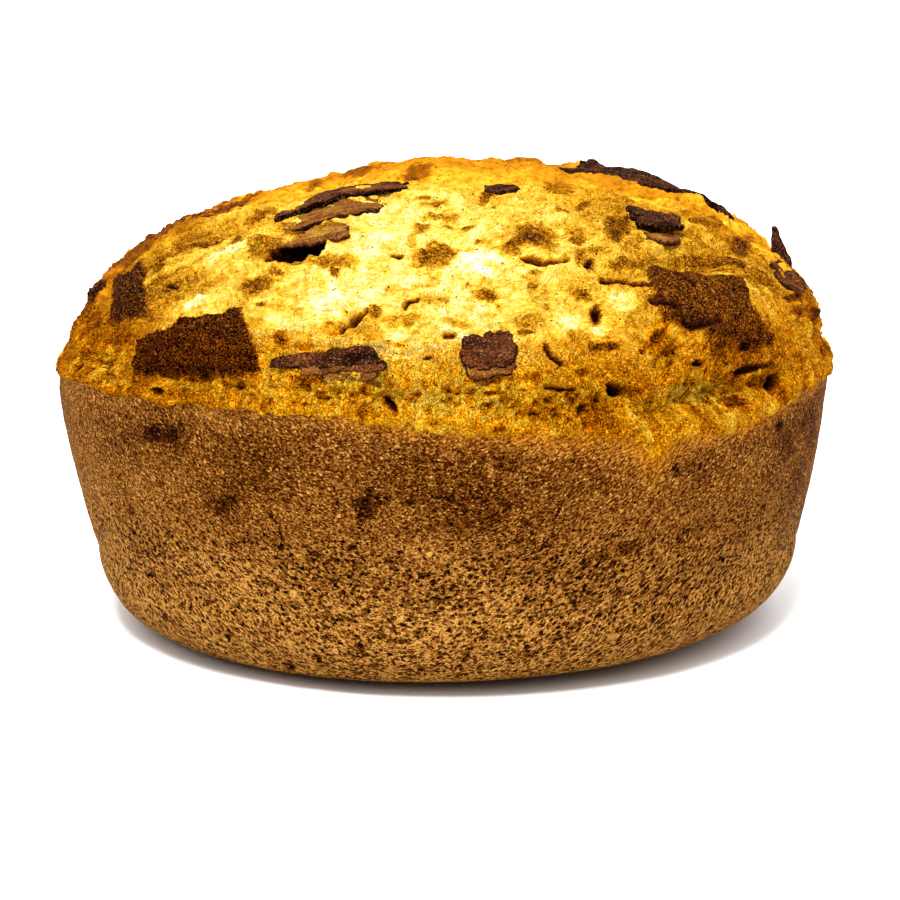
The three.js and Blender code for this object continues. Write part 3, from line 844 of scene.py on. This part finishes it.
wallLook = {  # the wall that took the tin's shape
    "columns": 1000,
    "frontFocus": 0.3,  # how much closer the columns stand at the front than at the back
    "rows": {"inside": 3, "lip": 5, "wall": 110, "corner": 26, "underside": 8},
    "lidDepth": 14,  # of the hidden floor inside the lip
    "lipHeight": 6,
    "lipWidth": 5.0,
    "lipRagged": [(9.0, 0.5), (2.0, 0.4)],
    "shades": {  # toast all over, and what is added to it in places; heights and x in mm
        "all": 0.28,
        # belt and top: darker over the upper wall, painted shade where the flared wall faces down
        "belt": {"height": 53, "halfWidth": 20, "toast": 0.32},
        "top": {"height": (50, 66), "toast": 0.14},
        "right": {"x": (-10, 40), "height": (60, 20), "toast": 0.03},
        "clouds": {"size": 16, "toast": 0.1},
        # left: paler towards -X, painted light on the wall's left side
        "left": {"x": (-60, -95), "toast": -0.1},
        # foot: darker next to the floor, painted shade at the foot
        "foot": {"halfWidth": 8, "toast": 0.05},
    },
    "glow": {"depth": 3.4, "notchDepth": 4, "least": 0.15, "toast": 0.2, "strength": 0.85},  # under the rim
    "swells": [(180, 56, 45, 24, 1.0)],  # azimuth, height, half widths in degrees and mm, depth
    "wobble": {"size": 34, "height": 0.4},
    "ripples": {"size": 7, "height": 0.16},
    "slants": [(-58, 26, 0.5), (-118, 30, -0.12)],  # azimuth, half width, slope of the pores
    "marks": {  # x, y, width, height and tilt of an oval that the camera sees, and toast that it adds
        "burnL1": (155, 434, 16, 12, 0, 0.3),
        "burnL2": (172, 434, 12, 12, 0, 0.26),
        "burnLwide": (160, 432, 50, 20, 0, 0.16),
        "burn2a": (232, 500, 14, 10, 0, 0.26),
        "burn2b": (220, 508, 18, 12, 0, 0.2),
        "burn2wide": (222, 501, 52, 40, 0, 0.12),
        "core1": (365, 507, 22, 26, 0, 0.42),
        "core2": (381, 500, 16, 12, 0, 0.24),
        "core3": (337, 504, 6, 12, 0, 0.3),
        "core4": (409, 502, 14, 8, 0, 0.28),
        "core5": (407, 530, 18, 7, 0, 0.22),
        "wide": (470, 508, 110, 50, 0, 0.12),
        "burn526": (526, 654, 22, 10, 0, 0.3),
        "spot360": (360, 647, 12, 13, 0, 0.4),
        "dark676": (676, 471, 8, 12, 0, 0.36),
        "burn630": (630, 547, 30, 11, 15, 0.3),
        "burn604": (604, 556, 13, 8, 0, 0.3),
        "streak692": (692, 530, 34, 5, 10, 0.16),
        "dark779": (779, 426, 7, 10, 0, 0.42),
        "dark785": (785, 445, 16, 24, 0, 0.2),
        "limb810": (810, 427, 16, 40, 0, 0.14),
        "bubble1": (491, 471, 8, 12, 0, -0.3),
        "bubble2": (535, 453, 10, 8, 0, -0.26),
        "bubble3": (394, 458, 8, 6, 0, -0.24),
        "bubble4": (366, 457, 6, 8, 0, -0.2),
        "light430": (430, 477, 8, 22, 0, -0.12),
        "light718": (718, 448, 16, 8, 0, -0.16),
        "goldenBand": (235, 565, 90, 30, 0, -0.1),
    },
    "flour": [(292.5, 594, 6, 6, 0), (430, 554, 5, 4, 0), (335, 651, 5, 3, 0), (456, 621, 4, 4, 0)],
    "pits": [  # ovals as above; each sinks and is painted darker, painted shade in the pit
        (315, 555, 11, 7, 0),
        (152, 575, 7, 6, 0),
        (151, 586, 5, 5, 0),
        (286, 469, 7, 3, 0),
        (210, 602, 12, 4, 0),
        (190, 607, 4, 7, 0),
        (269, 584, 14, 4, 0),
        (262, 594, 12, 4, 0),
        (282, 605, 6, 4, 0),
        (289, 665, 14, 7, -50),
        (281, 547, 6, 6, 0),
        (352, 548, 9, 7, 0),
        (337, 561, 6, 6, 0),
        (366, 611, 8, 6, 0),
        (420, 635, 7, 9, 0),
        (392, 641, 9, 6, 0),
        (466, 657, 11, 6, 60),
        (436, 641, 9, 4, 0),
        (317, 659, 8, 6, 0),
        (421, 670, 8, 5, 0),
        (425, 576, 10, 5, 0),
        (437, 600, 12, 5, 0),
        (472, 599, 10, 4, 0),
        (434, 614, 6, 6, 0),
        (515, 471, 8, 4, 0),
        (555, 639, 16, 5, 20),
        (544, 545.5, 17, 3, 52),
        (556, 516, 20, 3, 66),
        (271, 517, 20, 3, -50),
        (281, 535, 22, 3, -68),
        (599, 616, 7, 6, 0),
    ],
    "scatteredPits": {"count": 150, "halfSizes": (0.5, 1.1), "top": 44, "seed": 5},
}

wallSkin = {  # thin matt crust that fried against the tin: sandy, with open pores lower down
    "ownSpace": True,
    "fields": ["porous", "sandy"],
    "patterns": [  # kind, size in mm, share or swirl, toast, relief, weight
        # rows whose toast and relief have opposite signs paint the grain's hollows and pores darker:
        # painted shade
        ("cloud", 9.0, 0.2, 0.18, 0.2, None),
        ("cloud", 2.4, 0.2, 0.22, -0.3, None),
        ("cloud", 0.8, 0.3, 0.7, -0.5, None),
        ("cells", 0.32, 0.0, 0.66, -0.3, None),
        ("specks", 0.42, 0.07, -0.42, 0.2, "sandy"),
        ("specks", 0.5, 0.07, 0.36, -0.6, "porous"),
        ("pores", 3.6, 0.2, 0.42, -1.2, "porous"),
        ("pores", 1.7, 0.32, 0.42, -0.8, "porous"),
        ("pores", 1.0, 0.4, 0.4, -0.6, "porous"),
    ],
    "tint": ("gold", "#ffe474"),  # the crust just under the rim is yellower
    "bump": 0.8,
    "roughness": 0.8,
    "shine": 0.01,
    "colours": [  # tan, brown, dark brown, scorched and charred crust
        (0.0, "#bc8840"), (0.3, "#8c5c24"), (0.55, "#603408"), (0.8, "#381400"), (1.0, "#0c0200"),
    ],
}


def wallPlaces(azimuth, row, ragged):
    rows, form = wallLook["rows"], loafForm
    rim = rimHeight(azimuth) + ragged
    lift = form["undersideLift"] * (1 + np.cos(np.radians(azimuth))) / 2
    foot = lift + form["cornerRadius"]
    starts = np.cumsum([0, *rows.values()])
    share = [np.clip((row - start) / count, 0, 1) for start, count in zip(starts, rows.values())]
    inside, lip, wall, corner, underside = share
    innerRadius = form["rimRadius"] - wallLook["lipWidth"]
    radius = innerRadius * inside
    lidDepth, lipHeight = wallLook["lidDepth"], wallLook["lipHeight"]
    height = rim - lidDepth + (lidDepth - lipHeight) * inside
    radius = np.where(lip > 0, innerRadius + wallLook["lipWidth"] * np.sin(lip * np.pi / 2), radius)
    height = np.where(lip > 0, rim - lipHeight * (1 - lip) ** 1.5, height)
    bulge = form["wallBulge"] * np.sin(np.pi * wall)
    taper = form["rimRadius"] + (form["footRadius"] - form["rimRadius"]) * wall + bulge
    radius = np.where(wall > 0, taper, radius)
    height = np.where(wall > 0, rim + (foot - rim) * wall, height)
    turn = corner * np.pi / 2
    cornerReach = form["footRadius"] - form["cornerRadius"] * (1 - np.cos(turn))
    radius = np.where(corner > 0, cornerReach, radius)
    height = np.where(corner > 0, lift + form["cornerRadius"] * (1 - np.sin(turn)), height)
    restRim = form["footRadius"] - form["cornerRadius"]
    radius = np.where(underside > 0, restRim * (1 - underside), radius)
    places = polarPoints(azimuth, radius, 0.0)
    shift = form["footShift"] * wall * (1 - underside)
    places[:, 0] += shift
    past = np.hypot(places[:, 0] - form["restOffset"], places[:, 1]) - form["restRadius"]
    edge = polarPoints(azimuth, restRim, 0.0) + np.array([form["footShift"], 0, 0])
    edgePast = np.hypot(edge[:, 0] - form["restOffset"], edge[:, 1]) - form["restRadius"]
    height = np.where(underside > 0, lift * np.clip(past / edgePast, 0, None), height)
    places[:, 2] = height
    return places, wall, corner


def wallOval(azimuth, z, mark, ragged, softness):  # 1 inside an oval on the wall, 0 outside
    markAzimuth, markHeight, halfAcross, halfUp, turn = mark
    x = np.radians(wrapAzimuth(azimuth - markAzimuth)) * (loafForm["rimRadius"] - 4)
    y = z - markHeight
    cosine, sine = math.cos(math.radians(turn)), math.sin(math.radians(turn))
    reach = np.hypot((x * cosine + y * sine) / halfAcross, (y * cosine - x * sine) / halfUp)
    return 1 - ease(1 - softness, 1 + softness, reach + ragged)


def scatterPits():  # azimuth, height, half sizes across and up in mm, turn
    scattered = wallLook["scatteredPits"]
    draw = np.random.default_rng(scattered["seed"])
    low, high = scattered["halfSizes"]
    pits = []
    for _ in range(scattered["count"]):
        halfUp = draw.uniform(low, high) * 0.7
        height = 4 + (scattered["top"] - 4) * draw.uniform() ** 1.4
        pits.append((draw.uniform(-180, 180), height, halfUp * draw.uniform(1, 2), halfUp, 0))
    return pits


def wallToast(azimuth, z, rimDrop, places, seen, shown):
    ragged = 0.4 * grain(places, 3, 3)
    x, shades, lit = places[:, 0], wallLook["shades"], wallLook["glow"]
    belt, top, right, clouds, left, foot = list(shades.values())[1:]
    # the belt and top are painted shade, the left is painted light, and the foot is painted shade
    toast = shades["all"] + belt["toast"] * hill(z - belt["height"], belt["halfWidth"])
    toast += top["toast"] * ease(*top["height"], z)
    toast += right["toast"] * ease(*right["x"], x) * ease(*right["height"], z)
    toast += clouds["toast"] * grain(places, clouds["size"], 3) + left["toast"] * ease(*left["x"], x)
    toast += foot["toast"] * hill(z, foot["halfWidth"])
    for *oval, added in wallLook["marks"].values():
        toast += added * shown * ovalShare(seen, oval, ragged, 0.6)
    glowDepth = lit["depth"] + lit["notchDepth"] * hill(azimuth + 64, 12)
    glow = lit["least"] + (1 - lit["least"]) * ease(-116, -100, azimuth) * ease(0, -30, azimuth)
    glow *= np.clip(hill(np.clip(rimDrop, 0, None), glowDepth) * (1 + 0.6 * ragged), 0, 1)
    toast += (lit["toast"] - toast) * lit["strength"] * glow
    for oval in wallLook["flour"]:
        toast -= 1.5 * shown * ovalShare(seen, oval, 0, 0.3)
    return toast, glow


def slantedSpace(azimuth, places):  # space that leans with the pores, a little squeezed across
    space = places * [0.75, 0.75, 1.0]
    for slantAzimuth, halfWidth, amount in wallLook["slants"]:
        turn, reach = np.radians(wrapAzimuth(azimuth - slantAzimuth)), np.radians(halfWidth)
        fade = np.exp(-(turn / (3 * reach)) ** 4)
        space[:, 2] -= amount * loafForm["rimRadius"] * reach * np.tanh(turn / reach) * fade
    return space


def buildWall(material):
    rows = wallLook["rows"]
    rowCount, columns = sum(rows.values()), wallLook["columns"]
    bm = bmesh.new()
    bmesh.ops.create_grid(bm, x_segments=columns, y_segments=rowCount, size=1)
    flat = placesOf(bm)
    focus = wallLook["frontFocus"]
    azimuth = -90 + 180 * (flat[:, 0] - focus * np.sin(np.pi * flat[:, 0]) / np.pi)
    azimuth = wrapAzimuth(azimuth)
    row = np.round((1 - flat[:, 1]) / 2 * rowCount)
    rimPoints = polarPoints(azimuth, loafForm["rimRadius"], 60.0)
    ragged = sum(height * grain(rimPoints, size) for size, height in wallLook["lipRagged"])
    places, wall, corner = wallPlaces(azimuth, row, ragged)
    flank = ease(0.01, 0.12, wall) * (1 - ease(0.6, 1, corner))
    z = places[:, 2].copy()
    wobble, ripples = wallLook["wobble"], wallLook["ripples"]
    height = wobble["height"] * grain(places, wobble["size"], 2)
    height += ripples["height"] * grain(places * [0.5, 0.5, 1.6], ripples["size"], 3)
    for swellAzimuth, swellHeight, halfTurn, halfUp, depth in wallLook["swells"]:
        turn = wrapAzimuth(azimuth - swellAzimuth)
        height += depth * hill(turn, halfTurn) * hill(z - swellHeight, halfUp)
    seen, shown = seenAt(places), shownShare(places, polarPoints(azimuth, 1.0, 0.0))
    toast, glow = wallToast(azimuth, z, rimHeight(azimuth) + ragged - z, places, seen, shown)
    # the pits, listed and scattered, sink and are painted darker: painted shade in the dips
    pitRagged = 0.3 * grain(places, 1.4, 2)
    for oval in wallLook["pits"]:
        share = shown * ovalShare(seen, oval, pitRagged, 0.35)
        height -= 0.12 * min(oval[2:4]) * share
        toast += 0.36 * share
    for pit in scatterPits():
        near = np.flatnonzero(np.abs(wrapAzimuth(azimuth - pit[0])) < 3)
        share = wallOval(azimuth[near], z[near], pit, pitRagged[near], 0.35)
        height[near] -= 0.9 * min(pit[2:4]) * share
        toast[near] += 0.36 * share
    places = places + polarPoints(azimuth, 1.0, 0.0) * (height * flank)[:, None]
    porous = (0.2 + 0.8 * ease(58, 30, z)) * flank
    fields = {"toast": toast, "gold": glow, "porous": porous, "sandy": ease(1.0, 0.3, porous),
              "space": slantedSpace(azimuth, places) * mm}
    piece = makePiece("tinBakedWall", bm, places, fields, material)
    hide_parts("loaf")


buildWall(bakedMaterial("tinBakedCrust", wallSkin))


flakeLook = {  # the scorched flakes of the first crust
    "cell": 0.5,  # size of the flakes' grid in mm
    "layers": 4,
    "cornerPower": 10,  # the higher, the squarer a flake's corners
    "ragged": [(5.0, 1.5), (1.6, 1.0)],  # sizes and heights of the outline's unevenness
    "sideSteps": 0.7,  # how far the layers stand in and out of the broken sides
    "warp": {"size": 8, "height": 0.7},
    "wrinkles": {"size": 2.6, "height": 0.32},
    # a flake's corners uphill left, uphill right, downhill right, downhill left; how proud the uphill
    # and downhill edges or those four corners stand; thickness; toast on top and of the sides
    "seenFlakes": [  # corners in pixels
        ([(274, 357), (373, 346), (388, 366), (274, 369)], (0.8, 1.4), 1.5, 0.84, 0.92),
        ([(300, 364), (384, 362), (388, 371), (302, 377)], (0.9, 1.4), 1.2, 0.66, 0.8),
        ([(322, 373), (378, 371), (371, 381), (324, 380)], (0.8, 1.1), 1.0, 0.56, 0.74),
        ([(457, 339), (512, 332), (514, 368), (461, 372)], (1.9, 1.5), 1.8, 0.78, 0.92),
        ([(464, 362), (516, 360), (517, 377), (470, 381)], (0.5, 0.8), 1.2, 0.66, 0.86),
        ([(281, 212), (408, 180), (412, 190), (277, 224)], (0, 0, 1.2, 1.8), 1.2, 0.74, 1.0),
        ([(283, 217), (380, 196), (386, 211), (288, 233)], (0, 0, 0.8, 0.5), 0.9, 0.6, 0.86),
        ([(256, 238), (345, 222), (350, 238), (280, 247)], (0, 0.2, 1.4, 0.3), 0.9, 0.54, 0.72),
        ([(630, 211), (682, 221), (684, 239), (642, 234)], (1.0, 3.0), 1.6, 0.86, 0.94),
        ([(644, 234), (684, 239), (680, 253), (654, 250)], (0.2, 1.8), 1.4, 0.6, 0.7),
        ([(768, 256), (798, 262), (812, 300), (782, 286)], (0.5, 0.5), 1.8, 0.76, 0.88),
        ([(485, 187), (514, 187), (516, 194), (484, 195)], (0.5, 1.3), 1.4, 0.86, 0.9),
    ],
    "otherFlakes": [  # corners as azimuth and drop
        ([(30, 19), (42, 31), (8, 51), (-3, 43)], (0.6, 3, 1.8, 1.8), 2.4, 0.9, 0.94),
        ([(62, 55), (80, 52), (82, 66), (66, 69)], (1.6, 2), 3, 0.82, 0.9),
        ([(104, 33), (128, 29), (126, 41), (108, 44)], (0.3, 1.6), 2.4, 0.82, 0.9),
        ([(140, 62), (160, 59), (157, 75), (143, 78)], (2, 1.4), 3, 0.8, 0.9),
        ([(24, 68), (38, 66), (40, 80), (26, 82)], (1.8, 1.6), 3, 0.8, 0.9),
    ],
    "shard": {"azimuth": -3, "drop": 62, "width": 7, "thickness": 2, "height": 11, "turn": 52,
              "sink": 6, "twist": 40},
}

flakeCrust = {  # the first crust, scorched dry: near black, with specks of paler flour
    "fields": [],
    "patterns": [  # kind, size in mm, share or swirl, toast, relief, weight
        # rows whose toast and relief have opposite signs paint the grain's hollows darker: painted shade
        ("cloud", 5.0, 0.2, 0.24, -0.3, None),
        ("cloud", 1.6, 0.2, 0.26, -0.5, None),
        ("cloud", 0.6, 0.3, 0.4, -0.5, None),
        ("cells", 0.3, 0.0, 0.22, -0.3, None),
    ],
    "dust": (0.3, 0.12, 0.26, "#90704c", None),
    "bump": 0.7,
    "roughness": 0.85,
    "shine": 0.02,
    "colours": [  # toasted underside, brown, dark brown, scorched and charred crust
        (0.0, "#b09040"), (0.35, "#987020"), (0.6, "#683814"), (0.8, "#38180a"), (1.0, "#080200"),
    ],
}


def flakesOnDome():  # all flakes, with their corners as azimuth and drop
    places, seen = mapDome()
    found = []
    for pixels, *rest in flakeLook["seenFlakes"]:
        corners = [places[np.argmin(np.linalg.norm(seen - pixel, axis=1))] for pixel in pixels]
        found.append((corners, *rest))
    return found + flakeLook["otherFlakes"]


def slab(wide, long):  # a flat slab from -0.5 to 0.5 and 0 to 1 thick, its sides cut into layers
    bm = bmesh.new()
    across, down = (max(6, round(length / flakeLook["cell"])) for length in (wide, long))
    bmesh.ops.create_grid(bm, x_segments=across, y_segments=down, size=0.5)
    lifted = bmesh.ops.extrude_face_region(bm, geom=bm.faces[:])["geom"]
    top = [item for item in lifted if isinstance(item, bmesh.types.BMVert)]
    bmesh.ops.translate(bm, verts=top, vec=(0, 0, 1))
    posts = [edge for edge in bm.edges if abs(edge.verts[0].co.z - edge.verts[1].co.z) > 0.9]
    bmesh.ops.subdivide_edges(bm, edges=posts, cuts=flakeLook["layers"] - 1)
    return bm


def flakePlaces(flat, flake, index):
    corners, rise, thickness, topToast, sideToast = flake
    x, y, z = flat[:, 0] * 2, flat[:, 1] * -2, flat[:, 2]  # -1 to 1, -1 to 1, 0 to 1
    square = np.maximum(np.abs(x), np.abs(y))
    power = flakeLook["cornerPower"]
    rounded = (np.abs(x) ** power + np.abs(y) ** power + 1e-9) ** (1 / power)
    x, y = x * square / rounded, y * square / rounded
    u, v = (x + 1) / 2, (y + 1) / 2
    spots = [smoothDome(azimuth, drop) for azimuth, drop in corners]
    uphill = spots[0] + (spots[1] - spots[0]) * u[:, None]
    downhill = spots[3] + (spots[2] - spots[3]) * u[:, None]
    spot = uphill + (downhill - uphill) * v[:, None]
    centre = spot.mean(axis=0)
    outline = (spot - centre) / (np.linalg.norm(spot - centre, axis=1)[:, None] + 1e-6)
    onRim = square ** 6
    seedShift = np.array([index * 17.3, 0, 0])
    push = sum(height * grain(spot + seedShift, size, 2) for size, height in flakeLook["ragged"])
    layer = np.round(z * flakeLook["layers"])
    step = grain(np.column_stack([spot[:, :2] / 5 + index, layer * 1.7]), 1, 1)
    side = onRim * ((z > 0.08) & (z < 0.95))
    push = push * onRim + flakeLook["sideSteps"] * step * side - 0.3 * onRim * (z > 0.95)
    spot = spot + outline * push[:, None]
    azimuth, drop = placeOnDome(spot)
    warp, wrinkles = flakeLook["warp"], flakeLook["wrinkles"]
    rise = rise if len(rise) == 4 else (rise[0], rise[0], rise[1], rise[1])
    face = (rise[0] + (rise[1] - rise[0]) * u) * (1 - v) + (rise[3] + (rise[2] - rise[3]) * u) * v
    face = face + warp["height"] * grain(spot, warp["size"], 2)
    face = face + wrinkles["height"] * grain(spot + seedShift, wrinkles["size"], 3)
    height = broadRelief(azimuth, drop) + face - (1 - z) * thickness
    places = smoothDome(azimuth, drop) + domeNormal(azimuth, drop) * height[:, None]
    toast = topToast + 0.2 * grain(spot * [0.2, 1, 1], 2.4, 2)
    toast = np.where(z < 0.95, sideToast + 0.2 * step, toast)
    return places, toast


def shardPlaces(flat):
    shard = flakeLook["shard"]
    up = flat[:, 1] + 0.5
    taper = np.where(up > 0.45, 1 - (up - 0.45) / 0.55 * 0.92, 1)
    x = flat[:, 0] * shard["width"] * taper - 0.8 * up
    y = up * (shard["height"] + shard["sink"]) - shard["sink"]
    z = (flat[:, 2] - 0.5) * shard["thickness"] * (1 - 0.5 * up)
    centre, across, down, outward = frameAt(shard["azimuth"], shard["drop"])
    centre = centre + outward * broadRelief(np.array([shard["azimuth"]]), np.array([shard["drop"]]))[0]
    turn = math.radians(shard["turn"])
    rising = outward * math.cos(turn) - down * math.sin(turn)
    facing = np.cross(across, rising)
    twist = math.radians(shard["twist"])
    broad = across * math.cos(twist) + facing * math.sin(twist)
    thin = facing * math.cos(twist) - across * math.sin(twist)
    places = centre + x[:, None] * broad + y[:, None] * rising + z[:, None] * thin
    places = places + 0.35 * grain(places, 2.5, 2)[:, None] * facing
    return places, np.full(len(flat), 0.84)


def addSlab(whole, bm, places, toast):
    layer = bm.verts.layers.float.new("toast")
    for vertex, place, value in zip(bm.verts, places.tolist(), toast.tolist()):
        vertex.co = place
        vertex[layer] = value
    part = bpy.data.meshes.new("slab")
    bm.to_mesh(part)
    bm.free()
    whole.from_mesh(part)
    bpy.data.meshes.remove(part)


def buildFlakes(material):
    whole = bmesh.new()
    for index, flake in enumerate(flakesOnDome()):
        spots = [smoothDome(azimuth, drop) for azimuth, drop in flake[0]]
        wide = np.linalg.norm(spots[1] - spots[0] + spots[2] - spots[3]) / 2
        long = np.linalg.norm(spots[3] - spots[0] + spots[2] - spots[1]) / 2
        bm = slab(wide, long)
        addSlab(whole, bm, *flakePlaces(placesOf(bm), flake, index))
    shard = flakeLook["shard"]
    bm = slab(shard["width"], shard["height"] + shard["sink"])
    addSlab(whole, bm, *shardPlaces(placesOf(bm)))
    piece = makePiece("scorchedFlakes", whole, placesOf(whole), {}, material)
    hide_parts("loaf")


buildFlakes(bakedMaterial("scorchedCrust", flakeCrust))


studio = {  # floor and light; the camera's values are in view
    "floorSize": 40.0,
    "floorColour": "#f6f6f6",
    "skyStrength": (0.1, 2.3),  # of the light from all round, low down and from above
    "skyEdge": (10, 52),  # the heights in degrees between which it grows
    "backdropStrength": 1.0,  # of the white that the camera sees
    "keyStrength": 3.8,
    "keySoftness": 14,  # degrees that the light spans
    "keyTilt": (31, -5),  # degrees from straight above, towards the front and towards -X
}


def buildFloor():
    bm = bmesh.new()
    bmesh.ops.create_grid(bm, x_segments=1, y_segments=1, size=studio["floorSize"] / 2)
    mesh = bpy.data.meshes.new("floor")
    bm.to_mesh(mesh)
    bm.free()
    paper = bpy.data.materials.new("whitePaper")
    paper.use_nodes = True
    shader = paper.node_tree.nodes["Principled BSDF"]
    shader.inputs["Base Color"].default_value = linearColour(studio["floorColour"])
    shader.inputs["Roughness"].default_value = 0.9
    mesh.materials.append(paper)
    floor = bpy.data.objects.new("floor", mesh)
    bpy.context.scene.collection.objects.link(floor)


def buildSky():
    world = bpy.data.worlds.new("whiteStudio")
    world.use_nodes = True
    tree = world.node_tree
    seen = addNode(tree, "ShaderNodeLightPath").outputs["Is Camera Ray"]
    direction = addNode(tree, "ShaderNodeTexCoord").outputs["Generated"]
    rise = addNode(tree, "ShaderNodeSeparateXYZ", {}, {"Vector": direction}).outputs["Z"]
    low, high = (math.sin(math.radians(angle)) for angle in studio["skyEdge"])
    dim, bright = studio["skyStrength"]
    ranged = {"Value": rise, "From Min": low, "From Max": high, "To Min": dim, "To Max": bright}
    light = addNode(tree, "ShaderNodeMapRange", {}, ranged).outputs["Result"]
    shown = {0: seen, 1: studio["backdropStrength"]}
    strongest = {0: addNode(tree, "ShaderNodeMath", multiply, shown).outputs[0], 1: light}
    strength = addNode(tree, "ShaderNodeMath", {"operation": "MAXIMUM"}, strongest).outputs[0]
    tree.links.new(strength, tree.nodes["Background"].inputs["Strength"])
    tree.nodes["Background"].inputs["Color"].default_value = (1, 1, 1, 1)
    bpy.context.scene.world = world


def buildStudio():
    buildFloor()
    buildSky()
    key = bpy.data.lights.new("keyLight", "SUN")
    key.energy = studio["keyStrength"]
    key.angle = math.radians(studio["keySoftness"])
    keyLight = bpy.data.objects.new("keyLight", key)
    frontTilt, sideTilt = studio["keyTilt"]
    keyLight.rotation_euler = (math.radians(frontTilt), math.radians(sideTilt), 0)
    bpy.context.scene.collection.objects.link(keyLight)
    data = bpy.data.cameras.new("camera")
    data.lens = view["lens"]
    data.sensor_width = view["sensor"]
    camera = bpy.data.objects.new("camera", data)
    camera.location = [length * mm for length in view["place"]]
    camera.rotation_euler = (math.pi / 2 - view["pitch"], 0, 0)
    bpy.context.scene.collection.objects.link(camera)
    bpy.context.scene.camera = camera
    bpy.context.scene.view_settings.view_transform = "Standard"
    print("studio: floor, sky, key light and camera")


buildStudio()
